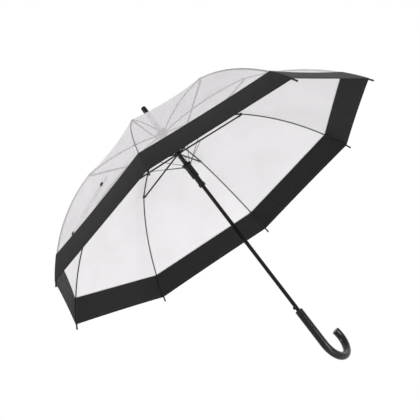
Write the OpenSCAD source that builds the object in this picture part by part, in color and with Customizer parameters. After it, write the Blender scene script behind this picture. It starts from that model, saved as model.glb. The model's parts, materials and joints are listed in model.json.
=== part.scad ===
// Automatic stick umbrella with eight ribs, a clear film canopy and a black woven border.
// Shaft axis along Z, canopy up, open. The origin is the middle of the handle's straight grip.

/* [Shaft and handle] */
// Outside diameter of the tubular shaft
shaft_d = 10; // [8:0.5:12]
// Diameter of the handle's grip and crook
handle_d = 20; // [17:0.5:22]
// Length of the handle's straight grip
grip_len = 101; // [90:1:120]
// Radius of the crook's centre line
crook_r = 47; // [40:1:55]
// Angle that the crook turns through
crook_turn = 204; // [170:1:215]
// Height of the shaft's top end, inside the ferrule
shaft_top_z = 684; // [675:1:690]
// Height of the ferrule's tip
ferrule_tip_z = 731; // [720:1:750]
// Diameter of the ferrule
ferrule_d = 14; // [13:0.5:16]

/* [Canopy frame] */
// Height of the pivots where the ribs hang from the crown
crown_z = 636; // [630:1:645]
// Distance of the crown's and the upper runner's pivots from the shaft axis
pivot_r = 8.5; // [8.3:0.1:9]
// Distance between a rib's crown pivot and its stretcher pivot, which is also the stretcher's length
link_len = 244; // [240:1:246]
// Drop from the crown pivot to the stretcher pivot with the canopy open
link_drop = 35; // [32:1:44]
// Depth of the stretcher pivot below the rib
clip_drop = 4.8; // [4.6:0.1:5.5]
// Downward slope of the rib at the stretcher pivot, in degrees
joint_slope = 26; // [22:1:30]
// Downward slope of the inner rib where it ends at the stretcher pivot, in degrees
inner_end = 17; // [14:1:26]
// Distance of the canopy's corners from the shaft axis
rim_r = 489; // [470:1:500]
// Height of the canopy's corners
rim_z = 387; // [380:1:400]
// Direction of the first rib, in degrees from the side that the crook bends to
rib_turn = 19.5; // [0:0.5:22.5]
// Diameter of the steel inner ribs
rib_d = 3.6; // [3:0.1:4]
// Diameter of the glass-fibre outer ribs
rib_tip_d = 3.2; // [3:0.1:3.6]
// Length of the rib's tip cap past the canopy's corner
tip_cap_len = 14; // [10:1:18]

/* [Runner] */
// Height of the struts' pivots on the runner's flange
flange_z = 526.4; // [523:0.2:526.4]
// Distance of the struts' pivots from the shaft axis
foot_r = 11.9; // [11.8:0.1:12.2]
// Length of the runner from the struts' pivots to its lower end
runner_len = 72; // [66:1:74]
// Outside diameter of the runner's body
runner_d = 20; // [19:0.5:21]
// Distance along a stretcher from its inner pivot to its strut
strut_at = 80; // [76:1:84]

/* [Canopy] */
// Height of the film above the middle of the ribs
film_lift = 2.6; // [2.5:0.1:3.5]
// Thickness of the film and of the border fabric, drawn thick enough to be a solid
film_t = 0.6; // [0.5:0.1:1]
// Width of the black border, along the ribs
border_w = 71; // [60:1:80]
// Space between neighbouring gores
gore_gap = 0.6; // [0.4:0.1:1]

/* [Closure strap] */
// Length of the strap that ties the furled canopy
strap_len = 176; // [160:1:190]
// Width of the strap
strap_w = 22; // [18:1:26]
// Distance of the strap's middle from the stretcher pivot, down the canopy
strap_along = 230; // [200:1:235]
// Distance of the strap's middle from its gore's middle, towards the next rib
strap_aside = -31; // [-40:1:0]
// Angle of the strap to the canopy's rim, in degrees
strap_tilt = 21; // [0:1:25]
// Distance between the strap's two snaps
snap_spacing = 132; // [120:1:140]

/* [Hidden] */

rib_count = 8;
step = 360 / rib_count;
slack = 0.4;          // space on each side of a plate in its fork or slot
plate_t = 2;          // thickness of the rib's and stretcher's pivot plates
cheek_t = 1;          // thickness of a fork's cheeks
fork_w = plate_t + 2 * slack + 2 * cheek_t;
eye_d = 4;            // outside diameter of the eyes on the crown's and runner's wires
clip_d = 4.2;         // outside diameter of the eyes at the stretcher pivot
pin_d = 1.6;          // pins at the stretcher pivot
pin_hole_d = 2;
wire_d = 1.2;         // crown wire and upper runner wire
wire_hole_d = 1.7;
strut_d = 1.4;
strut_pin_d = 1.6;    // the strut's cross ends
strut_offset = 3;     // the struts run beside the stretchers, not under them
shaft_bore_d = shaft_d + 0.3;
dark = "#16161a";
clear_film = [0.9, 0.88, 0.92, 0.35];

// Rib geometry, as points [distance from the shaft axis, height].
joint_pt = [pivot_r + sqrt(link_len * link_len - link_drop * link_drop), crown_z - link_drop];
crown_pt = [pivot_r, crown_z];
ring_pt = [pivot_r, crown_z - 2 * link_drop];
rim_pt = [rim_r, rim_z];
clip_pt = joint_pt + clip_drop * normal_at(joint_slope);
inner_slope = slope_of(crown_pt, clip_pt);
outer_slope = slope_of(clip_pt, rim_pt);
inner_R = norm(clip_pt - crown_pt) / 2 / sin(inner_end - inner_slope);
outer_R = norm(rim_pt - clip_pt) / 2 / sin(outer_slope - joint_slope);
inner_centre = clip_pt - inner_R * normal_at(inner_end);
outer_centre = clip_pt - outer_R * normal_at(joint_slope);
crown_slope = 2 * inner_slope - inner_end;
rim_slope = 2 * outer_slope - joint_slope;
border_slope = rim_slope - degrees_along(border_w, outer_R);
crown_top = crown_z + 6;
runner_bottom = flange_z - runner_len;
stretcher_slope = slope_of(joint_pt, ring_pt);
// Where the strut meets the stretcher, and the strut's foot on the runner.
strut_pt = ring_pt + strut_at / link_len * (joint_pt - ring_pt);
foot_pt = [foot_r, flange_z];

// Upward normal and outward tangent of a rib that slopes down by s degrees.
function normal_at(s) = [sin(s), cos(s)];
function slope_of(a, b) = atan2(a[1] - b[1], b[0] - a[0]);
function degrees_along(len, R) = len / R * 180 / PI;
// Point at slope s on the rib, raised by h.
function on_rib(s, h = 0) = s <= inner_end
    ? inner_centre + (inner_R + h) * normal_at(s)
    : outer_centre + (outer_R + h) * normal_at(s);

// Turns a shape drawn in the XZ plane, pointing along +X, to the direction of rib k.
module at_rib(k) {
    rotate([0, 0, rib_turn + step * (k - 1)]) children();
}

// Moves to a point of the rib plane and turns +X to slope down by s degrees.
module at_pt(p, s = 0) {
    translate([p[0], 0, p[1]]) rotate([0, s, 0]) children();
}

// Part of a rod that follows the rib's arc between two slopes.
module arc_rod(centre, R, from_slope, to_slope, d) {
    translate([centre[0], 0, centre[1]])
        rotate([90, 0, 0])
            rotate([0, 0, 90 - to_slope])
                rotate_extrude(angle = to_slope - from_slope, $fn = 96)
                    translate([R, 0]) circle(d = d, $fn = 24);
}

// Cylinder across the rib plane, centred on it, or beside it when shifted by y.
module across(d, len, y = 0) {
    translate([0, y, 0]) rotate([90, 0, 0]) cylinder(d = d, h = len, center = true, $fn = 32);
}

// Two cheeks of a fork, round at the pivot and reaching back to -X.
module fork_cheeks(reach, height) {
    for (side = [-1, 1]) {
        y = side * (plate_t / 2 + slack + cheek_t / 2);
        across(height, cheek_t, y);
        translate([-reach, y - cheek_t / 2, -height / 2]) cube([reach, cheek_t, height]);
    }
}

module fork_pin() {
    across(pin_d, fork_w);
}

// Tube around the shaft axis.
module tube(d_out, d_in, z0, z1) {
    translate([0, 0, z0]) difference() {
        cylinder(d = d_out, h = z1 - z0, $fn = 64);
        translate([0, 0, -1]) cylinder(d = d_in, h = z1 - z0 + 2, $fn = 64);
    }
}

// Radial slots through a ring, one for each rib, from radius r outward and from z0 to z1.
module rib_slots(r, width, z0, z1, y = 0) {
    for (k = [1:rib_count])
        at_rib(k) translate([r, y - width / 2, z0]) cube([20, width, z1 - z0]);
}

module wire_ring(z, d) {
    translate([0, 0, z]) rotate_extrude($fn = 96) translate([pivot_r, 0]) circle(d = d, $fn = 24);
}

button_z = grip_len / 2 + 9;
button_travel = 2.5;
button_hole_d = 7;
socket_depth = 40;

module shaft() {
    color(dark) difference() {
        translate([0, 0, grip_len / 2 - socket_depth])
            cylinder(d = shaft_d, h = shaft_top_z - grip_len / 2 + socket_depth, $fn = 64);
        translate([0, 0, grip_len / 2 - socket_depth - 1])
            cylinder(d = shaft_d - 1.4, h = shaft_top_z - grip_len / 2 + socket_depth + 2, $fn = 64);
        translate([0, 0, button_z]) rotate([0, -90, 0]) cylinder(d = button_hole_d, h = shaft_d, $fn = 32);
    }
}

module ferrule() {
    cap_z = crown_top + 3.4;
    round_r = 2;
    color(dark) difference() {
        union() {
            translate([0, 0, cap_z])
                cylinder(d = ferrule_d, h = ferrule_tip_z - round_r - cap_z, $fn = 64);
            translate([0, 0, ferrule_tip_z - round_r])
                cylinder(d1 = ferrule_d, d2 = ferrule_d - 2 * round_r, h = round_r, $fn = 64);
        }
        translate([0, 0, cap_z - 1])
            cylinder(d = shaft_d + 0.1, h = shaft_top_z + 1.2 - cap_z, $fn = 64);
    }
}

// Washer that holds the film's apex down on the crown.
module canopy_cap() {
    color(dark) tube(34, shaft_d + 0.1, crown_top + 1.4, crown_top + 3.2);
}

module crown() {
    slot_w = plate_t + 2 * slack;
    color(dark) difference() {
        tube(24, shaft_d + 0.1, crown_z - 6, crown_top);
        rib_slots(pivot_r - eye_d / 2 - 0.3, slot_w, crown_z - 7, crown_z + 3);
        rib_slots(pivot_r + 1.2, rib_d + 2 * slack, crown_z - 7, crown_z + 3);
        rib_slots(pivot_r - 2.2, rib_d + 2 * slack, crown_z - 7, crown_z - 3.2);
        wire_ring(crown_z, wire_d + 0.04);
    }
}

module crown_wire() {
    color("silver") wire_ring(crown_z, wire_d);
}

module handle() {
    color(dark) difference() {
        union() {
            translate([0, 0, -grip_len / 2]) cylinder(d = handle_d, h = grip_len, $fn = 64);
            translate([crook_r, 0, -grip_len / 2]) rotate([90, 0, 0]) rotate([0, 0, 180])
                rotate_extrude(angle = crook_turn, $fn = 96)
                    translate([crook_r, 0]) circle(d = handle_d, $fn = 64);
        }
        translate([0, 0, grip_len / 2 - socket_depth])
            cylinder(d = shaft_d + 0.1, h = socket_depth + 1, $fn = 64);
    }
}

module push_button() {
    color(dark) translate([0, 0, button_z]) rotate([0, -90, 0]) {
        translate([0, 0, 1]) cylinder(d = button_hole_d - 0.4, h = shaft_d / 2 + 2, $fn = 32);
        translate([0, 0, shaft_d / 2 + button_travel + 0.4]) cylinder(d = 8, h = 2.6, $fn = 32);
        translate([0, 0, shaft_d / 2 + 2]) cylinder(d = button_hole_d - 0.4, h = 2, $fn = 32);
    }
}

// Ring that carries the stretchers, with its wire as a second solid.
module upper_runner() {
    slot_w = plate_t + 2 * slack;
    z = ring_pt[1];
    color(dark) difference() {
        tube(20.8, shaft_bore_d, z - ring_half_h, z + ring_half_h);
        rib_slots(pivot_r - eye_d / 2 - 0.3, slot_w, z - ring_half_h - 1, z + ring_half_h + 1);
        wire_ring(z, wire_d + 0.04);
    }
    color("silver") wire_ring(z, wire_d);
}

ring_half_h = 3.2;
flange_top = flange_z + 2.4;
spring_r = 6.9;
spring_wire = 1.2;
spring_turns = 7;
spring_pocket = 15;

// Coil as rings of points that climb with the angle; the ends butt on the two runners.
module opening_spring() {
    sides = 8;
    per_turn = 20;
    n = spring_turns * per_turn;
    z0 = flange_top - spring_pocket + spring_wire;
    z1 = ring_pt[1] - ring_half_h - spring_wire;
    points = [
        for (i = [0:n]) for (j = [0:sides - 1])
            let (a = 360 * i / per_turn, b = 360 * j / sides, r = spring_r + spring_wire / 2 * cos(b))
                [r * cos(a), r * sin(a), z0 + (z1 - z0) * i / n + spring_wire / 2 * sin(b)]
    ];
    walls = [
        for (i = [0:n - 1]) for (j = [0:sides - 1])
            let (m = (j + 1) % sides)
                [i * sides + j, (i + 1) * sides + j, (i + 1) * sides + m, i * sides + m]
    ];
    ends = [[for (j = [0:sides - 1]) j], [for (j = [sides - 1:-1:0]) n * sides + j]];
    color("dimgray") polyhedron(points, concat(walls, ends), convexity = 10);
}

module runner_sleeve() {
    pocket_d = 16.2;
    color(dark) difference() {
        union() {
            tube(25.6, shaft_bore_d, flange_z - 3, flange_top);
            tube(runner_d, shaft_bore_d, flange_z - 41, flange_z - 2);
            tube(15, shaft_bore_d, runner_bottom + 2, flange_z - 40);
            tube(18, shaft_bore_d, runner_bottom, runner_bottom + 7);
        }
        translate([0, 0, flange_top - spring_pocket])
            cylinder(d = pocket_d, h = spring_pocket + 1, $fn = 64);
        rib_slots(foot_r - 1.6, strut_offset + 3.4, flange_z - 1.4, flange_z + 4, strut_offset / 2);
    }
}

module rib(k) {
    start = crown_slope + degrees_along(3.9, inner_R);
    finish = inner_end - degrees_along(4.5, inner_R);
    color(dark) at_rib(k) difference() {
        union() {
            arc_rod(inner_centre, inner_R, start, finish, rib_d);
            at_pt(crown_pt, crown_slope) {
                across(eye_d, plate_t);
                translate([0, -plate_t / 2, -1.6]) cube([6, plate_t, 3.2]);
            }
            at_pt(clip_pt, inner_end) translate([-8, -plate_t / 2, -1.7]) cube([8, plate_t, 3.4]);
            at_pt(clip_pt, joint_slope) {
                across(clip_d, plate_t);
                translate([-clip_d / 2, -plate_t / 2, -clip_drop]) cube([clip_d, plate_t, clip_drop]);
                translate([0, 0, -clip_drop]) across(clip_d, plate_t);
            }
        }
        at_pt(crown_pt) across(wire_hole_d, 10);
        at_pt(clip_pt) across(pin_hole_d, 10);
        at_pt(joint_pt) across(pin_hole_d, 10);
    }
}

// Outer rib that takes the bend, with its tip cap as a second solid.
module rib_tip(k) {
    bore_depth = 6;
    tip_ball_d = 5.4;
    color(dark) at_rib(k) {
        arc_rod(outer_centre, outer_R, joint_slope + degrees_along(5, outer_R), rim_slope, rib_tip_d);
        at_pt(clip_pt, joint_slope) {
            rotate([0, 0, 180]) fork_cheeks(6.4, clip_d - 0.4);
            fork_pin();
            translate([3.4, -fork_w / 2, -1.9]) cube([3, fork_w, 3.8]);
        }
    }
    color(dark) at_rib(k) at_pt(rim_pt, rim_slope) rotate([0, 90, 0]) difference() {
        union() {
            translate([0, 0, 0.3 - bore_depth])
                cylinder(d = 4.4, h = tip_cap_len + bore_depth - tip_ball_d / 2, $fn = 32);
            translate([0, 0, tip_cap_len - tip_ball_d / 2]) sphere(d = tip_ball_d, $fn = 32);
        }
        translate([0, 0, -bore_depth]) cylinder(d = rib_tip_d + 0.16, h = bore_depth + 0.2, $fn = 32);
    }
}

// Steel channel from the upper runner to the rib, open below.
module stretcher(k) {
    width = 3;
    height = 3.4;
    wall = 0.6;
    eye_len = 7;
    fork_len = 7;
    color(dark) at_rib(k) difference() {
        union() {
            at_pt(ring_pt, stretcher_slope + 180) {
                across(eye_d, plate_t);
                translate([0, -plate_t / 2, -1.7]) cube([eye_len + 2, plate_t, 3.4]);
                translate([eye_len, -width / 2, -height / 2])
                    cube([link_len - eye_len - fork_len, width, height]);
            }
            at_pt(joint_pt, stretcher_slope + 180) {
                fork_cheeks(fork_len + 2, clip_d - 0.4);
                fork_pin();
                translate([-fork_len - 3, -fork_w / 2, -1.9]) cube([3.4, fork_w, 3.8]);
            }
        }
        at_pt(ring_pt) across(wire_hole_d, 10);
        at_pt(ring_pt, stretcher_slope + 180) {
            for (part = [[eye_len + 4, strut_at - 4], [strut_at + 4, link_len - fork_len - 5]])
                translate([part[0], wall - width / 2, -height / 2 - 1])
                    cube([part[1] - part[0], width - 2 * wall, height + 1 - wall]);
        }
        at_pt(strut_pt) across(strut_pin_d + 0.3, 10);
    }
}

// Assist wire beside the stretcher, with one end through it and the other in the runner's slot.
module strut(k) {
    slope = slope_of(foot_pt, strut_pt);
    len = norm(strut_pt - foot_pt);
    color(dark) at_rib(k) {
        at_pt(foot_pt, slope) translate([-1, strut_offset, 0])
            rotate([0, 90, 0]) cylinder(d = strut_d, h = len + 2, $fn = 24);
        at_pt(strut_pt) across(strut_pin_d, strut_offset + 3.6, strut_offset / 2 - 0.8);
        at_pt(foot_pt) across(strut_pin_d, strut_offset + 2, strut_offset / 2);
    }
}

// One gore's sheet as a closed solid. The rows are [inside, outside] pairs of rib-plane points;
// each row runs straight from one rib to the next, short of both by half the gap.
module gore_sheet(k, rows) {
    half = step / 2;
    function corner(p, side) = [p[0] * cos(half), side * (p[0] * sin(half) - gore_gap / 2), p[1]];
    n = len(rows);
    points = [for (row = rows) for (p = row) for (side = [-1, 1]) corner(p, side)];
    // points of row i: 4i inside left, 4i+1 inside right, 4i+2 outside left, 4i+3 outside right
    faces = concat(
        [for (i = [0:n - 2]) [4 * i, 4 * i + 4, 4 * i + 5, 4 * i + 1]],
        [for (i = [0:n - 2]) [4 * i + 2, 4 * i + 3, 4 * i + 7, 4 * i + 6]],
        [for (i = [0:n - 2]) [4 * i, 4 * i + 2, 4 * i + 6, 4 * i + 4]],
        [for (i = [0:n - 2]) [4 * i + 1, 4 * i + 5, 4 * i + 7, 4 * i + 3]],
        [[0, 1, 3, 2], [4 * n - 4, 4 * n - 2, 4 * n - 1, 4 * n - 3]]
    );
    at_rib(k + 0.5) polyhedron(points, faces, convexity = 4);
}

// Near the shaft the film stays above the crown's top face, and it comes down to the ribs from there.
function over_crown(p, h = 0) = p[0] < 60
    ? [p[0], max(p[1], crown_top + 0.3 + h - 0.055 * max(0, p[0] - 13))]
    : p;
// Inside and outside points of the canopy over slope s.
function canopy_row(s, t = film_t) =
    [over_crown(on_rib(s, film_lift)), over_crown(on_rib(s, film_lift + t), t)];

module film_gore(k) {
    inner_rows = 8;
    outer_rows = 7;
    seam = border_slope - degrees_along(0.4, outer_R);
    apex = [[6.2, crown_top + 0.3], [6.2, crown_top + 0.3 + film_t]];
    first = crown_slope + degrees_along(8, inner_R);
    color(clear_film) gore_sheet(k, concat(
        [apex],
        [for (i = [0:inner_rows]) canopy_row(first + (inner_end - first) * i / inner_rows)],
        [for (i = [0:outer_rows]) canopy_row(joint_slope + (seam - joint_slope) * i / outer_rows)]
    ));
}

// Border fabric with a hem twice as thick along the rim.
module border_panel(k) {
    hem = degrees_along(8, outer_R);
    rows = 3;
    last = rim_slope - hem;
    color(dark) gore_sheet(k, concat(
        [for (i = [0:rows]) canopy_row(border_slope + (last - border_slope) * i / rows)],
        [canopy_row(last + 0.02, 2 * film_t), canopy_row(rim_slope, 2 * film_t)]
    ));
}

// The strap lies under the film of one gore, higher at the next rib's side.
strap_gore = 4;
strap_t = 0.6;
strap_depth = 3;      // space under the film, so that the flat strap clears its curve
strap_slope = joint_slope + degrees_along(strap_along, outer_R);

module on_strap() {
    half = step / 2;
    p = on_rib(strap_slope, film_lift - strap_t - strap_depth);
    face_slope = atan(tan(strap_slope) / cos(half));
    at_rib(strap_gore + 0.5) translate([p[0] * cos(half), strap_aside, p[1]])
        rotate([0, face_slope, 0]) rotate([0, 0, strap_tilt]) children();
}

module closure_strap() {
    color(clear_film) on_strap() difference() {
        translate([-strap_w / 2, -strap_len / 2, 0]) cube([strap_w, strap_len, strap_t]);
        for (side = [-1, 1])
            translate([0, side * snap_spacing / 2, -1]) cylinder(d = 3, h = strap_t + 2, $fn = 24);
    }
}

module strap_snaps() {
    color("black") on_strap() for (side = [-1, 1]) translate([0, side * snap_spacing / 2, 0]) {
        translate([0, 0, -1.7]) cylinder(d = 11, h = 1.6, $fn = 32);
        translate([0, 0, -0.2]) cylinder(d = 2.8, h = strap_t + 0.4, $fn = 24);
        translate([0, 0, strap_t + 0.1]) cylinder(d = 8, h = 0.8, $fn = 32);
    }
}

shaft();
ferrule();
canopy_cap();
crown();
crown_wire();
handle();
push_button();
upper_runner();
opening_spring();
runner_sleeve();
closure_strap();
strap_snaps();
for (k = [1:rib_count]) {
    rib(k);
    rib_tip(k);
    stretcher(k);
    strut(k);
    film_gore(k);
    border_panel(k);
}
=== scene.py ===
"""Looks of an automatic stick umbrella, with a clear film canopy and a black woven border.

Everything is in metres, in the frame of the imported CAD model.
"""

import json
import math

import bpy
import numpy as np
from mathutils import Matrix, Vector


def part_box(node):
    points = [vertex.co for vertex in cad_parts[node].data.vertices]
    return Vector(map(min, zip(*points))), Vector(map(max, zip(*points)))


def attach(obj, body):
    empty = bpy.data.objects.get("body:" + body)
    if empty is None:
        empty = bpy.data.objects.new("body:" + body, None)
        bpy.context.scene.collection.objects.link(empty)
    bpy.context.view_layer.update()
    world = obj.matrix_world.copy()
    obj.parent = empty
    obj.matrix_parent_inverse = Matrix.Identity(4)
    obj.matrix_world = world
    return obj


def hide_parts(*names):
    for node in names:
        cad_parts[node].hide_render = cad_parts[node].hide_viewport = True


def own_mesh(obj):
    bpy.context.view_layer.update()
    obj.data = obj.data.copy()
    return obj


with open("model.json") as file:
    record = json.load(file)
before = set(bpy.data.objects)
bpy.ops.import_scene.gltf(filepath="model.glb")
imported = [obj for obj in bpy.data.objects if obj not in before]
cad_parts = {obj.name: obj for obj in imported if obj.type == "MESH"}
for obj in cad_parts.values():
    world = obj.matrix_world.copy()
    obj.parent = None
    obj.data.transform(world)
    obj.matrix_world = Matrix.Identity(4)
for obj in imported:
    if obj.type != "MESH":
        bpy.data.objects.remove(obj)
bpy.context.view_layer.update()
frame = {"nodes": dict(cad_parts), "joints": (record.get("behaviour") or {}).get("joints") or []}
nodes = frame["nodes"]
joints = {j["name"]: j for j in frame["joints"]}

# ---------------------------------------------------------------- sizes, in metres

RIBS = 8
HALF_STEP = math.pi / RIBS


def plane_point(joint):
    """Place of a rib's joint in the rib's plane, as (distance from the shaft, height)."""
    x, y, z = joints[joint]["pos_m"]
    return np.array([math.hypot(x, y), z])


crown_pt = plane_point("canopy_fold")
clip_pt = plane_point("rib_1_bend")
first_x, first_y, _ = joints["canopy_fold"]["pos_m"]
first_azimuth = math.atan2(first_y, first_x)
# These repeat the part's source: the canopy's corner, the rib's slopes at the stretcher pivot,
# the width of the border, and how far the film and the border lie above the rib's middle.
rim_pt = np.array([0.489, 0.387])
joint_slope = math.radians(26)
inner_end = math.radians(17)
border_width = 0.071
film_height = 0.0024
cloth_height = 0.0030
crown_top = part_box("crown")[1][2]


def normal(slope):
    """Upward normal, in the rib's plane, of a line that slopes down by that angle."""
    return np.array([math.sin(slope), math.cos(slope)])


def facing(slope, direction):
    """The same normal in space, for a plane that stands in that direction from the shaft."""
    return np.array([
        math.sin(slope) * math.cos(direction), math.sin(slope) * math.sin(direction),
        math.cos(slope),
    ])


def slope_of(a, b):
    return math.atan2(a[1] - b[1], b[0] - a[0])


inner_slope = slope_of(crown_pt, clip_pt)
outer_slope = slope_of(clip_pt, rim_pt)
inner_R = np.linalg.norm(clip_pt - crown_pt) / 2 / math.sin(inner_end - inner_slope)
outer_R = np.linalg.norm(rim_pt - clip_pt) / 2 / math.sin(outer_slope - joint_slope)
inner_centre = clip_pt - inner_R * normal(inner_end)
outer_centre = clip_pt - outer_R * normal(joint_slope)
crown_slope = 2 * inner_slope - inner_end
rim_slope = 2 * outer_slope - joint_slope
border_slope = rim_slope - border_width / outer_R


def on_rib(slope, height=0.0):
    """Point of the rib's plane at that slope, raised from the rib's middle."""
    if slope <= inner_end + 1e-9:
        return inner_centre + (inner_R + height) * normal(slope)
    return outer_centre + (outer_R + height) * normal(slope)


def at_joint(slope):
    return min(abs(slope - inner_end), abs(slope - joint_slope)) < 1e-6


def canopy_line(slope, height):
    """Point of the canopy over a rib. Near the shaft it stays above the crown's top face."""
    if at_joint(slope):
        return clip_pt + height * normal((inner_end + joint_slope) / 2)
    r, z = on_rib(slope, height)
    crown_reach = 0.12
    crown_radius = 0.014
    over = crown_top + 0.0005 - 0.05 * max(0.0, r - crown_radius)
    soft = 0.0006
    if r < crown_reach:
        z = z + soft * math.log1p(math.exp((over - z) / soft))
    return np.array([r, z])


def azimuth(k):
    return first_azimuth + 2 * HALF_STEP * (k - 1)


def spread(point, k):
    """A rib-plane point as a point in space, in rib k's plane."""
    a = azimuth(k)
    return np.array([point[0] * math.cos(a), point[0] * math.sin(a), point[1]])


def share_along(slope):
    """How far down the rib a slope is, from 0 at the crown to 1 at the rim."""
    inner = inner_R * (inner_end - crown_slope)
    outer = outer_R * (rim_slope - joint_slope)
    if slope <= inner_end:
        return inner_R * (slope - crown_slope) / (inner + outer)
    return (inner + outer_R * max(0.0, slope - joint_slope)) / (inner + outer)


# ---------------------------------------------------------------- mesh helpers


def link(obj):
    bpy.context.collection.objects.link(obj)
    return obj


def new_mesh(name, points, faces, material, uvs=None):
    mesh = bpy.data.meshes.new(name)
    mesh.from_pydata([tuple(p) for p in points], [], faces)
    mesh.validate()
    if uvs is not None:
        layer = mesh.uv_layers.new(name="cut")
        for loop in mesh.loops:
            layer.data[loop.index].uv = uvs[loop.vertex_index]
    for polygon in mesh.polygons:
        polygon.use_smooth = True
    mesh.materials.append(material)
    return link(bpy.data.objects.new(name, mesh))


def grid_faces(rows, columns, flip=False):
    faces = []
    for i in range(rows - 1):
        for j in range(columns - 1):
            a = i * columns + j
            quad = (a, a + columns, a + columns + 1, a + 1)
            faces.append(quad[::-1] if flip else quad)
    return faces


def thicken(points, rows, columns, depth, uvs):
    """A sheet with two faces. Each edge has its own strip of faces, so that it stays crisp."""
    grid = np.array(points).reshape(rows, columns, 3)
    along = np.gradient(grid, axis=0)
    across = np.gradient(grid, axis=1)
    normals = np.cross(along, across)
    normals /= np.linalg.norm(normals, axis=2, keepdims=True)
    if normals[..., 2].mean() < 0:
        normals = -normals
    under = (grid - depth * normals).reshape(-1, 3)
    top = grid.reshape(-1, 3)
    n = rows * columns
    points = list(top) + list(under)
    uvs = list(uvs) + list(uvs)
    faces = grid_faces(rows, columns)
    faces += [tuple(i + n for i in face[::-1]) for face in faces]
    rim = list(range(columns))
    rim += [i * columns + columns - 1 for i in range(1, rows)]
    rim += [(rows - 1) * columns + j for j in range(columns - 2, -1, -1)]
    rim += [i * columns for i in range(rows - 2, 0, -1)]
    first = len(points)
    for i in rim:
        points += [top[i], under[i]]
        uvs += [uvs[i], uvs[i]]
    for i in range(len(rim)):
        a, b = first + 2 * i, first + 2 * ((i + 1) % len(rim))
        faces.append((a, b, b + 1, a + 1))
    return points, faces, uvs


def tube(path, radii, sides):
    """Points and faces of a tube round a path, with one radius for each point and closed ends."""
    path = np.array(path, float)
    tangents = np.gradient(path, axis=0)
    tangents /= np.linalg.norm(tangents, axis=1, keepdims=True)
    side = np.cross(tangents[0], (0.0, 0.0, 1.0))
    if np.linalg.norm(side) < 1e-6:
        side = np.array([0.0, 1.0, 0.0])
    points, faces = [], []
    for i, (centre, tangent) in enumerate(zip(path, tangents)):
        side = side - tangent * side.dot(tangent)
        side /= np.linalg.norm(side)
        other = np.cross(tangent, side)
        for j in range(sides):
            a = 2 * math.pi * j / sides
            points.append(centre + radii[i] * (math.cos(a) * side + math.sin(a) * other))
    n = len(path)
    for i in range(n - 1):
        for j in range(sides):
            m = (j + 1) % sides
            faces.append((i * sides + j, i * sides + m, (i + 1) * sides + m, (i + 1) * sides + j))
    faces.append(tuple(range(sides - 1, -1, -1)))
    faces.append(tuple((n - 1) * sides + j for j in range(sides)))
    return points, faces


def lathe(profile, sides=64):
    """Points and faces of a closed profile, as (radius, height) pairs, turned round the Z axis."""
    points, faces = [], []
    n = len(profile)
    for r, z in profile:
        for j in range(sides):
            a = 2 * math.pi * j / sides
            points.append((r * math.cos(a), r * math.sin(a), z))
    for i in range(n):
        k = (i + 1) % n
        for j in range(sides):
            m = (j + 1) % sides
            faces.append((i * sides + j, i * sides + m, k * sides + m, k * sides + j))
    return points, faces


def rounded(corner_points, radius, steps=4):
    """A closed profile with each corner rounded off by an arc-like curve of that size."""
    out = []
    n = len(corner_points)
    for i in range(n):
        before, here, after = (np.array(corner_points[(i + d) % n], float) for d in (-1, 0, 1))
        room = 0.45 * min(np.linalg.norm(before - here), np.linalg.norm(after - here))
        size = min(radius, room)
        a = here + (before - here) / np.linalg.norm(before - here) * size
        b = here + (after - here) / np.linalg.norm(after - here) * size
        for s in range(steps + 1):
            t = s / steps
            out.append(tuple((1 - t) ** 2 * a + 2 * t * (1 - t) * here + t**2 * b))
    return out


def join_shapes(shapes):
    """One list of points and faces from several."""
    points, faces = [], []
    for p, f in shapes:
        first = len(points)
        points += list(p)
        faces += [tuple(i + first for i in face) for face in f]
    return points, faces


# ---------------------------------------------------------------- materials


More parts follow.
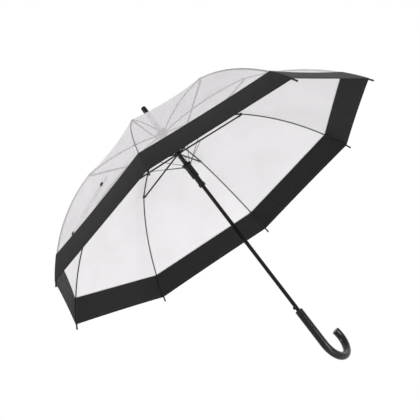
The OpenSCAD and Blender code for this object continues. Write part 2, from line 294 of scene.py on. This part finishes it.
class Look:
    """A Principled material with short helpers for its procedural parts."""

    def __init__(self, name):
        self.material = bpy.data.materials.new(name)
        self.material.use_nodes = True
        self.tree = self.material.node_tree
        self.shader = self.tree.nodes["Principled BSDF"]
        self.place = self.tree.nodes.new("ShaderNodeTexCoord")

    def set(self, **values):
        for key, value in values.items():
            self.shader.inputs[key.replace("_", " ")].default_value = value
        return self

    def node(self, kind, **settings):
        made = self.tree.nodes.new(kind)
        for key, value in settings.items():
            if key in made.inputs:
                made.inputs[key].default_value = value
            else:
                setattr(made, key, value)
        return made

    def join(self, a, b):
        self.tree.links.new(a, b)

    def coords(self, stretch=(1, 1, 1), source="Object"):
        mapping = self.node("ShaderNodeMapping")
        mapping.inputs["Scale"].default_value = stretch
        self.join(self.place.outputs[source], mapping.inputs["Vector"])
        return mapping.outputs["Vector"]

    def noise(self, scale, detail=3.0, stretch=(1, 1, 1), source="Object"):
        made = self.node("ShaderNodeTexNoise")
        made.inputs["Scale"].default_value = scale
        made.inputs["Detail"].default_value = detail
        self.join(self.coords(stretch, source), made.inputs["Vector"])
        return made.outputs["Fac"]

    def wave(self, pitch, direction, source="UV"):
        made = self.node("ShaderNodeTexWave", wave_type="BANDS", bands_direction=direction)
        made.inputs["Scale"].default_value = math.pi / 10 / pitch
        self.join(self.coords(source=source), made.inputs["Vector"])
        return made.outputs["Fac"]

    def between(self, factor, low, high):
        """From low to high as factor goes from 0.3 to 0.7, the range that noise mostly has."""
        made = self.node("ShaderNodeMapRange")
        made.inputs["From Min"].default_value = 0.3
        made.inputs["From Max"].default_value = 0.7
        made.inputs["To Min"].default_value = low
        made.inputs["To Max"].default_value = high
        self.join(factor, made.inputs["Value"])
        return made.outputs["Result"]

    def colours(self, factor, *stops):
        ramp = self.node("ShaderNodeValToRGB")
        elements = ramp.color_ramp.elements
        while len(elements) < len(stops):
            elements.new(0.5)
        for element, (at, colour) in zip(elements, stops):
            element.position = at
            element.color = (*colour, 1)
        self.join(factor, ramp.inputs["Fac"])
        return ramp.outputs["Color"]

    def maths(self, operation, a, b):
        made = self.node("ShaderNodeMath", operation=operation)
        for socket, value in zip(made.inputs, (a, b)):
            if isinstance(value, (int, float)):
                socket.default_value = value
            else:
                self.join(value, socket)
        return made.outputs[0]

    def bump(self, height, distance, strength=1.0, under=None):
        made = self.node("ShaderNodeBump")
        made.inputs["Strength"].default_value = strength
        made.inputs["Distance"].default_value = distance
        self.join(height, made.inputs["Height"])
        if under is not None:
            self.join(under, made.inputs["Normal"])
        return made.outputs["Normal"]

    def into(self, name, output):
        self.join(output, self.shader.inputs[name])
        return self


def enamel_look():
    look = Look("black_enamel").set(Coat_Weight=0.1, Coat_Roughness=0.06, Specular_IOR_Level=0.25)
    look.into("Base Color", look.colours(
        look.noise(14, 4), (0.35, (0.004, 0.004, 0.0042)), (0.7, (0.010, 0.0098, 0.0105))
    ))
    look.into("Roughness", look.between(look.noise(60, 5, (1, 1, 0.15)), 0.14, 0.26))
    look.into("Normal", look.bump(look.noise(900, 2), 0.00003, 0.5))
    return look.material


def steel_look():
    look = Look("black_coated_steel").set(Specular_IOR_Level=0.3)
    look.into("Base Color", look.colours(
        look.noise(120, 5), (0.3, (0.010, 0.010, 0.011)), (0.72, (0.022, 0.022, 0.024))
    ))
    look.into("Roughness", look.between(look.noise(220, 4), 0.28, 0.5))
    look.into("Normal", look.bump(look.noise(2200, 3), 0.00002, 0.6))
    return look.material


def fibre_look():
    look = Look("black_glass_fibre").set(Specular_IOR_Level=0.3)
    streaks = look.noise(260, 4, (1, 1, 0.08))
    look.into("Base Color", look.colours(
        streaks, (0.32, (0.011, 0.011, 0.012)), (0.7, (0.026, 0.026, 0.028))
    ))
    look.into("Roughness", look.between(look.noise(500, 3), 0.3, 0.46))
    look.into("Normal", look.bump(streaks, 0.00004, 0.5))
    return look.material


def plastic_look():
    look = Look("black_moulded_plastic")
    look.set(Specular_IOR_Level=0.25, Coat_Weight=0.08, Coat_Roughness=0.1)
    look.into("Base Color", look.colours(
        look.noise(70, 4), (0.3, (0.005, 0.0048, 0.005)), (0.75, (0.012, 0.0115, 0.012))
    ))
    look.into("Roughness", look.between(look.noise(160, 4), 0.16, 0.32))
    look.into("Normal", look.bump(look.noise(1500, 3), 0.00003, 0.5))
    return look.material


def handle_look():
    look = Look("polished_handle")
    look.set(Specular_IOR_Level=0.3, Coat_Weight=0.45, Coat_Roughness=0.16)
    rubbed = look.noise(24, 5, (1, 1, 0.4))
    look.into("Base Color", look.colours(
        rubbed, (0.3, (0.0025, 0.0023, 0.0026)), (0.72, (0.007, 0.0064, 0.0069))
    ))
    look.into("Roughness", look.between(rubbed, 0.12, 0.26))
    fine = look.bump(look.noise(700, 3), 0.00001, 0.2)
    look.into("Normal", look.bump(look.noise(45, 2), 0.0001, 0.12, under=fine))
    return look.material


def bright_wire_look():
    look = Look("bright_wire").set(Metallic=1.0)
    look.into("Base Color", look.colours(
        look.noise(300, 3), (0.3, (0.42, 0.42, 0.44)), (0.7, (0.62, 0.62, 0.64))
    ))
    look.into("Roughness", look.between(look.noise(900, 3), 0.2, 0.4))
    look.into("Normal", look.bump(look.noise(3000, 2), 0.00001, 0.5))
    return look.material


def spring_look():
    look = Look("oiled_spring_steel").set(Metallic=1.0)
    look.into("Base Color", look.colours(
        look.noise(400, 4), (0.3, (0.045, 0.045, 0.05)), (0.75, (0.14, 0.14, 0.15))
    ))
    look.into("Roughness", look.between(look.noise(800, 3), 0.25, 0.45))
    look.into("Normal", look.bump(look.noise(2600, 2), 0.00001, 0.5))
    return look.material


def film_look(name="clear_film", alpha=0.70, welded=True):
    """Slightly hazy film. It looks clearer along the ribs, where they touch it."""
    look = Look(name).set(Alpha=alpha, Specular_IOR_Level=0.3)
    haze = look.noise(9, 4)
    look.into("Base Color", look.colours(
        haze, (0.3, (0.87, 0.835, 0.865)), (0.7, (0.95, 0.925, 0.95))
    ))
    look.into("Roughness", look.between(look.noise(30, 4), 0.3, 0.5))
    frost = look.bump(look.noise(1400, 3), 0.00002, 0.3)
    look.into("Normal", look.bump(look.noise(11, 3, (1, 1, 0.5)), 0.0015, 0.35, under=frost))
    if welded:
        across = look.node("ShaderNodeSeparateXYZ")
        look.join(look.coords(source="UV"), across.inputs["Vector"])
        clear = look.node("ShaderNodeMapRange")
        clear.inputs["From Min"].default_value = 0.0022
        clear.inputs["From Max"].default_value = 0.0075
        clear.inputs["To Min"].default_value = 0.5 * alpha
        clear.inputs["To Max"].default_value = alpha
        look.join(look.maths("ABSOLUTE", across.outputs["X"], 0), clear.inputs["Value"])
        look.into("Alpha", clear.outputs["Result"])
    look.material.surface_render_method = "BLENDED"
    return look.material


def fabric_look():
    look = Look("black_border_fabric")
    look.set(Sheen_Weight=0.06, Sheen_Roughness=0.5, Specular_IOR_Level=0.15)
    warp = look.wave(0.0009, "X")
    weft = look.wave(0.0009, "Y")
    weave = look.maths("MAXIMUM", warp, weft)
    slubs = look.noise(240, 4, (1, 0.25, 1), "UV")
    threads = look.maths("MULTIPLY", weave, 0.35)
    tone = look.maths("ADD", threads, look.maths("MULTIPLY", slubs, 0.65))
    look.into("Base Color", look.colours(
        tone, (0.3, (0.009, 0.0082, 0.0085)), (0.8, (0.026, 0.0238, 0.0243))
    ))
    look.into("Roughness", look.between(slubs, 0.55, 0.8))
    cloth = look.bump(weave, 0.00018, 0.6)
    look.into("Normal", look.bump(look.noise(26, 3), 0.0008, 0.35, under=cloth))
    return look.material


def thread_look():
    look = Look("black_thread").set(Sheen_Weight=0.3, Specular_IOR_Level=0.2)
    ply = look.noise(1800, 2)
    look.into("Base Color", look.colours(
        ply, (0.3, (0.02, 0.02, 0.021)), (0.7, (0.05, 0.05, 0.052))
    ))
    look.into("Roughness", look.between(ply, 0.5, 0.8))
    look.into("Normal", look.bump(ply, 0.00005, 0.6))
    return look.material


def floor_look():
    look = Look("pale_floor")
    look.into("Base Color", look.colours(
        look.noise(3, 3), (0.3, (0.93, 0.93, 0.93)), (0.7, (0.96, 0.96, 0.96))
    ))
    look.into("Roughness", look.between(look.noise(8, 3), 0.7, 0.9))
    return look.material


ENAMEL = enamel_look()
STEEL = steel_look()
FIBRE = fibre_look()
PLASTIC = plastic_look()
HANDLE = handle_look()
BRIGHT_WIRE = bright_wire_look()
SPRING = spring_look()
FILM = film_look()
STRAP_FILM = film_look("strap_film", 0.34, welded=False)
FABRIC = fabric_look()
THREAD = thread_look()


def paint(material, *names):
    for name in names:
        for slot in nodes[name].material_slots:
            slot.material = material


numbers = range(1, RIBS + 1)
paint(ENAMEL, "shaft")
paint(PLASTIC, "crown", "push_button", "upper_runner", "runner_sleeve")
paint(BRIGHT_WIRE, "crown_wire")
paint(STEEL, *[f"{kind}_{k}" for kind in ("rib", "stretcher", "strut") for k in numbers])
paint(FIBRE, *[f"rib_tip_{k}" for k in numbers])

# ---------------------------------------------------------------- canopy

# Each stretch of the canopy along its rib: the stretch's first and last slope, its body,
# the share of its width that it keeps, and how far its flattening direction leans inwards
# from straight across the rib.
top_slope = crown_slope + 0.45 * (inner_end - crown_slope)


class Stretch:
    """One stretch of the canopy along the ribs, from its first slope to its last."""

    def __init__(self, name, first, last, body, keep, lean, rows):
        self.name = name
        self.first = first
        self.last = last
        self.body = body
        self.keep = keep
        self.lean = math.radians(lean)
        self.rows = rows


FILM_STRETCHES = [
    Stretch("film_top", crown_slope, top_slope, "rib", 0.55, 4, 14),
    Stretch("film_inner", top_slope, inner_end, "rib", 0.30, 5, 16),
    Stretch("film_outer", joint_slope, border_slope + 0.0015 / outer_R, "tip", 0.14, 12, 22),
]
BORDER = Stretch("border", border_slope, rim_slope, "tip", 0.14, 18, 14)
COLUMNS = 13
APEX_RADIUS = 0.0065  # of the hole in the film that the shaft passes through
SAG = 0.006           # how deep the film hangs between two ribs
SCALLOP = 0.0016      # how far the rim is drawn in between two ribs


def sag_at(share):
    """How deep the canopy hangs between two ribs, by how far down them it is."""
    return SAG * math.sin(math.pi * min(1.0, share) ** 0.9) + 0.0010 * share


def canopy_point(k, side, slope, across, height):
    """Point of the canopy beside rib k: across is 0 on the rib and 1 halfway to the next one."""
    share = share_along(slope)
    bow = 4 * (across / 2) * (1 - across / 2)
    slope = slope - SCALLOP * bow * share**6 / outer_R
    line = canopy_line(slope, height)
    here = spread(line, k)
    there = spread(line, k + side)
    point = here + (there - here) * across / 2
    middle = azimuth(k + side / 2)
    if at_joint(slope):
        slope = (inner_end + joint_slope) / 2
    lean = math.atan(math.tan(slope) / math.cos(HALF_STEP))
    return point - facing(lean, middle) * sag_at(share) * bow


def gather(piece, stretch, k):
    """The piece follows its rib."""
    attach(piece, f"{stretch.body}_{k}")
    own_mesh(piece)


def gore_of(k, side):
    """The CAD gore that lies on that side of rib k."""
    return k if side > 0 else (k - 2) % RIBS + 1


def canopy_grid(k, side, stretch, height):
    points, uvs = [], []
    length = 0.0
    last = None
    for i in range(stretch.rows):
        slope = stretch.first + (stretch.last - stretch.first) * i / (stretch.rows - 1)
        line = canopy_line(slope, height)
        if last is not None:
            length += float(np.linalg.norm(line - last))
        last = line
        for j in range(COLUMNS):
            across = j / (COLUMNS - 1)
            point = canopy_point(k, side, slope, across, height)
            if stretch.name == "film_top" and i == 0:
                point = np.array([*(point[:2] / np.linalg.norm(point[:2]) * APEX_RADIUS), point[2]])
            points.append(point)
            uvs.append((side * across * line[0] * math.sin(HALF_STEP), length))
    return points, uvs, length


def make_film(k, side, stretch):
    name = f"{stretch.name}_{k}_{'right' if side > 0 else 'left'}"
    points, uvs, length = canopy_grid(k, side, stretch, film_height)
    faces = grid_faces(stretch.rows, COLUMNS, flip=side < 0)
    piece = new_mesh(name, points, faces, FILM, uvs=uvs)
    gather(piece, stretch, k)
    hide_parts(f"film_gore_{gore_of(k, side)}")


def make_stitches(k, side, label, slope, height):
    """A row of short stitches on the outside and the inside of the border."""
    pitch = 0.0042
    long = 0.0027
    thick, thin = 0.00026, 0.00016
    raised = 0.0002
    count = 60
    line = np.array([canopy_point(k, side, slope, i / (count - 1), height) for i in range(count)])
    steps = np.linalg.norm(np.diff(line, axis=0), axis=1)
    places = np.concatenate([[0], np.cumsum(steps)])
    outward = facing(slope, azimuth(k + side / 2))
    shapes = []
    for level, lift in ((0.0, raised), (-0.0011, -raised)):
        at = pitch / 2
        while at + long < places[-1]:
            ends = []
            for s in (at, at + long / 2, at + long):
                ends.append([np.interp(s, places, line[:, c]) for c in range(3)])
            path = np.array(ends) + outward * level
            path[1] += outward * lift
            shapes.append(tube(path, [thin, thick, thin], 6))
            at += pitch
    points, faces = join_shapes(shapes)
    piece = new_mesh(f"{label}_{k}_{'right' if side > 0 else 'left'}", points, faces, THREAD)
    gather(piece, BORDER, k)
    return piece


def make_border(k, side):
    """The black fabric with its hem folded under along the rim, stitched down on both edges."""
    label = "right" if side > 0 else "left"
    cloth_thickness = 0.0005
    hem_width = 0.010
    hem_drop = 0.0006
    points, uvs, length = canopy_grid(k, side, BORDER, cloth_height)
    both, faces, both_uvs = thicken(points, BORDER.rows, COLUMNS, cloth_thickness, uvs)
    cloth = new_mesh(f"border_{k}_{label}", both, faces, FABRIC, uvs=both_uvs)
    gather(cloth, BORDER, k)
    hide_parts(f"border_panel_{gore_of(k, side)}")

    hem = Stretch("hem", rim_slope - hem_width / outer_R, rim_slope, "tip", BORDER.keep, 18, 4)
    hem_points, hem_uvs, _ = canopy_grid(k, side, hem, cloth_height - hem_drop)
    hem_both, hem_faces, hem_uvs = thicken(hem_points, hem.rows, COLUMNS, cloth_thickness, hem_uvs)
    fold = new_mesh(f"hem_{k}_{label}", hem_both, hem_faces, FABRIC, uvs=hem_uvs)
    gather(fold, BORDER, k)

    rim_row_slope = rim_slope - 0.008 / outer_R
    seam_row_slope = border_slope + 0.004 / outer_R
    rim_row = make_stitches(k, side, "hem_stitches", rim_row_slope, cloth_height)
    seam_row = make_stitches(k, side, "seam_stitches", seam_row_slope, cloth_height)


for k in numbers:
    for side in (1, -1):
        for stretch in FILM_STRETCHES:
            make_film(k, side, stretch)
        make_border(k, side)

# ---------------------------------------------------------------- shaft fittings, snaps and strap

SHAFT_BORE = 0.0051


def turned(name, corners, radius, material, body, replaced):
    points, faces = lathe(rounded(corners, radius))
    piece = new_mesh(name, points, faces, material)
    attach(piece, body)
    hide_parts(replaced)
    return piece


def make_ferrule():
    """Rod with a shallow groove near its foot, a bevelled tip and a solid end above the bore."""
    low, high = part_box("ferrule")
    foot, tip = low[2], high[2]
    r = (high[0] - low[0]) / 2
    groove = r - 0.0007
    bevel = 0.0022
    core = 0.0004
    bore_top = tip - 0.046
    corners = [
        (SHAFT_BORE, foot), (r, foot), (r, foot + 0.006), (groove, foot + 0.0068),
        (groove, foot + 0.0078), (r, foot + 0.0086), (r, tip - bevel), (r - bevel, tip),
        (core, tip), (core, bore_top), (SHAFT_BORE, bore_top),
    ]
    turned("ferrule_rod", corners, 0.0012, PLASTIC, "pole", "ferrule")


def make_cap():
    low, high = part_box("canopy_cap")
    r = high[0]
    corners = [
        (SHAFT_BORE, low[2]), (r, low[2]), (r - 0.0006, low[2] + 0.001), (SHAFT_BORE, high[2]),
    ]
    turned("canopy_washer", corners, 0.0005, PLASTIC, "pole", "canopy_cap")


def make_handle():
    """Grip and crook as one swept rod, with softly rounded ends."""
    _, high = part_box("handle")
    r = high[1]
    top = high[2]
    grip = 0.101
    bend = 0.047
    turn = math.radians(204)
    end_edge = 0.0026
    top_edge = 0.0012
    steps_down, steps_round = 26, 72
    path = [(0.0, 0.0, top - grip * i / steps_down) for i in range(steps_down)]
    for i in range(steps_round + 1):
        a = turn * i / steps_round
        path.append((bend - bend * math.cos(a), 0.0, top - grip - bend * math.sin(a)))
    path = np.array(path)
    steps = np.concatenate([[0], np.cumsum(np.linalg.norm(np.diff(path, axis=0), axis=1))])
    total = steps[-1]

    def at(s):
        return [np.interp(s, steps, path[:, c]) for c in range(3)]

    places, radii = [], []
    for i in range(7):
        a = math.pi / 2 * i / 6
        places.append(top_edge * (1 - math.cos(a)))
        radii.append(r - top_edge + top_edge * math.sin(a))
    body = [s for s in steps if top_edge < s < total - end_edge]
    places += body
    radii += [r] * len(body)
    for i in range(9):
        a = math.pi / 2 * i / 8
        places.append(total - end_edge + end_edge * math.sin(a))
        radii.append(r - end_edge + end_edge * math.cos(a))
    # The sweep starts inside the socket that the shaft goes into.
    places = [0.004, 0.0] + places
    radii = [SHAFT_BORE, SHAFT_BORE] + radii
    points, faces = swept([at(s) for s in places], radii, path, steps, places, 48)
    piece = new_mesh("crook_handle", points, faces, HANDLE)
    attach(piece, "pole")
    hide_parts("handle")


def swept(centres, sizes, path, steps, places, sides):
    """Rings round a path in the XZ plane, one for each centre, closed at both ends."""
    tangents = np.gradient(path, steps, axis=0)
    points, faces = [], []
    for centre, size, place in zip(centres, sizes, places):
        tangent = np.array([np.interp(place, steps, tangents[:, c]) for c in range(3)])
        tangent /= np.linalg.norm(tangent)
        side = np.array([0.0, 1.0, 0.0])
        other = np.cross(tangent, side)
        for j in range(sides):
            a = 2 * math.pi * j / sides
            points.append(np.array(centre) + size * (math.cos(a) * side + math.sin(a) * other))
    n = len(centres)
    for i in range(n - 1):
        for j in range(sides):
            m = (j + 1) % sides
            faces.append((i * sides + j, i * sides + m, (i + 1) * sides + m, (i + 1) * sides + j))
    faces.append(tuple(range(sides - 1, -1, -1)))
    faces.append(tuple((n - 1) * sides + j for j in range(sides)))
    return points, faces


def make_spring():
    """Opening spring between the two runners, with its end turns closed up."""
    low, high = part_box("opening_spring")
    wire = 0.0006
    radius = high[0] - wire
    turns = 9
    count = 280
    path = []
    for i in range(count + 1):
        t = i / count
        climb = 0.5 - 0.5 * math.cos(math.pi * t)
        lift = 0.35 * climb + 0.65 * t
        a = 2 * math.pi * turns * t
        z = low[2] + wire + (high[2] - low[2] - 2 * wire) * lift
        path.append((radius * math.cos(a), radius * math.sin(a), z))
    points, faces = tube(path, [wire] * len(path), 10)
    piece = new_mesh("coil_spring", points, faces, SPRING)
    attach(piece, "ring")
    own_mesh(piece)
    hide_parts("opening_spring")


def make_snaps(centre, along, across, up):
    """Two press snaps, each a domed cap over a flat socket, with a waist at the strap."""
    solid = np.array([v.co for v in nodes["strap_snaps"].data.vertices])
    spots = (solid - solid.mean(0)) @ along
    spacing = (spots.max() - spots.min()) / 2
    r = np.abs((solid - solid.mean(0)) @ across).max()
    half = 0.0024
    shapes = []
    for side in (-1, 1):
        profile = [
            (0.0002, half), (0.45 * r, 0.96 * half), (0.78 * r, 0.72 * half),
            (0.97 * r, 0.3 * half), (r, 0.05 * half), (0.9 * r, -0.25 * half),
            (0.86 * r, -0.8 * half), (0.5 * r, -half), (0.35 * r, -0.7 * half),
            (0.0002, -0.7 * half),
        ]
        points, faces = lathe(profile, 32)
        place = centre + along * side * (spacing - r)
        shapes.append(([place + along * x + across * y + up * z for x, y, z in points], faces))
    points, faces = join_shapes(shapes)
    piece = new_mesh("snap_pair", points, faces, PLASTIC)
    gather(piece, FILM_STRETCHES[2], 4)
    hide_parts("strap_snaps")
    return piece


def make_strap():
    """Clear strap with rounded ends, which moves with its side of the canopy.

    It lies about 10 mm from its CAD solid, which brings its snaps nearer to the photographed ones.
    """
    node = nodes["closure_strap"]
    corners = np.array([v.co for v in node.data.vertices])
    centre = (corners.max(0) + corners.min(0)) / 2
    centred = corners - corners.mean(0)
    _, _, frame_axes = np.linalg.svd(centred, full_matrices=False)
    long_axis, wide_axis, thin_axis = frame_axes
    if thin_axis[2] < 0:
        thin_axis = -thin_axis
    if wide_axis[2] < 0:
        wide_axis = -wide_axis
    if long_axis[1] < 0:
        long_axis = -long_axis
    half_long = np.abs((corners - centre) @ long_axis).max()
    half_wide = np.abs((corners - centre) @ wide_axis).max()
    along, aside, inwards = 0.006, 0.008, 0.0006
    centre = centre + long_axis * along + wide_axis * aside - thin_axis * inwards
    round_end = 0.009
    rows, columns = 41, 9
    points, uvs = [], []
    for i in range(rows):
        u = -half_long + 2 * half_long * i / (rows - 1)
        end = min(1.0, (half_long - abs(u)) / round_end)
        width = half_wide * (0.55 + 0.45 * math.sqrt(max(0.0, 1 - (1 - end) ** 2)))
        for j in range(columns):
            v = -1 + 2 * j / (columns - 1)
            ripple = 0.0005 * math.sin(u * 55 + 1.2 * v) + 0.0003 * math.sin(u * 131)
            edge = -0.0003 * v**4
            level = thin_axis * (ripple + edge)
            points.append(centre + long_axis * u + wide_axis * width * v + level)
            uvs.append((u, v * width))
    both, faces, both_uvs = thicken(points, rows, columns, 0.0004, uvs)
    piece = new_mesh("clear_strap", both, faces, STRAP_FILM, uvs=both_uvs)
    gather(piece, FILM_STRETCHES[2], 4)
    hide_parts("closure_strap")
    make_snaps(centre, long_axis, wide_axis, thin_axis)


make_ferrule()
make_cap()
make_handle()
make_spring()
make_strap()

# ---------------------------------------------------------------- stage, light and camera


def make_floor():
    reach = 40.0
    height = -1.4
    square = ((-1, -1), (1, -1), (1, 1), (-1, 1))
    corners = [(reach * x, reach * y, height) for x, y in square]
    floor = new_mesh("studio_floor", corners, [(0, 1, 2, 3)], floor_look())


def area_light(name, place, target, size, power, height=None):
    data = bpy.data.lights.new(name, "AREA")
    data.energy = power
    data.shape = "DISK" if height is None else "RECTANGLE"
    data.size = size
    data.size_y = height or size
    light = link(bpy.data.objects.new(name, data))
    light.location = place
    light.rotation_euler = (Vector(target) - Vector(place)).to_track_quat("-Z", "Y").to_euler()
    light.visible_camera = False


def make_world():
    """White studio that is brightest ahead of the camera."""
    world = bpy.data.worlds.new("white_studio")
    world.use_nodes = True
    tree = world.node_tree
    sky = tree.nodes["Background"]
    sky.inputs["Strength"].default_value = 1.0
    place = tree.nodes.new("ShaderNodeTexCoord")
    towards = tree.nodes.new("ShaderNodeVectorMath")
    towards.operation = "DOT_PRODUCT"
    towards.inputs[1].default_value = (0.84, 0.456, 0.298)
    shade = tree.nodes.new("ShaderNodeValToRGB")
    shade.color_ramp.interpolation = "EASE"
    shade.color_ramp.elements[0].position = 0.1
    shade.color_ramp.elements[0].color = (0.50, 0.50, 0.50, 1)
    shade.color_ramp.elements[1].position = 0.85
    shade.color_ramp.elements[1].color = (1, 1, 1, 1)
    tree.links.new(place.outputs["Generated"], towards.inputs[0])
    tree.links.new(towards.outputs["Value"], shade.inputs["Fac"])
    tree.links.new(shade.outputs["Color"], sky.inputs["Color"])
    bpy.context.scene.world = world
    bpy.context.scene.view_settings.view_transform = "Standard"


def make_camera():
    """Below the rim and to one side, looking up into the canopy, rolled clockwise."""
    place = Vector((-1.989, -1.055, -0.312))
    heading, climb, roll = (math.radians(a) for a in (28.53, 17.34, -37.34))
    ahead = Vector((
        math.cos(climb) * math.cos(heading), math.cos(climb) * math.sin(heading), math.sin(climb)
    ))
    level = Vector((math.sin(heading), -math.cos(heading), 0))
    upright = level.cross(ahead)
    right = level * math.cos(roll) + upright * math.sin(roll)
    up = right.cross(ahead)
    data = bpy.data.cameras.new("photo_camera")
    data.sensor_width = 36
    data.lens = 79.5
    camera = link(bpy.data.objects.new("photo_camera", data))
    turn = Matrix((right, up, -ahead)).transposed().to_4x4()
    camera.matrix_world = Matrix.Translation(place) @ turn
    bpy.context.scene.camera = camera


make_floor()
make_world()
make_camera()
middle = (0, 0, 0.4)
area_light("key_light", (-2.3, 1.2, 1.7), middle, 0.7, 15)
area_light("strip_light", (-0.84, -2.29, -0.4), (0, 0, 0.15), 0.34, 20, height=1.4)
area_light("low_light", (-0.9, -0.9, -1.2), (0, 0, 0.5), 1.1, 3)
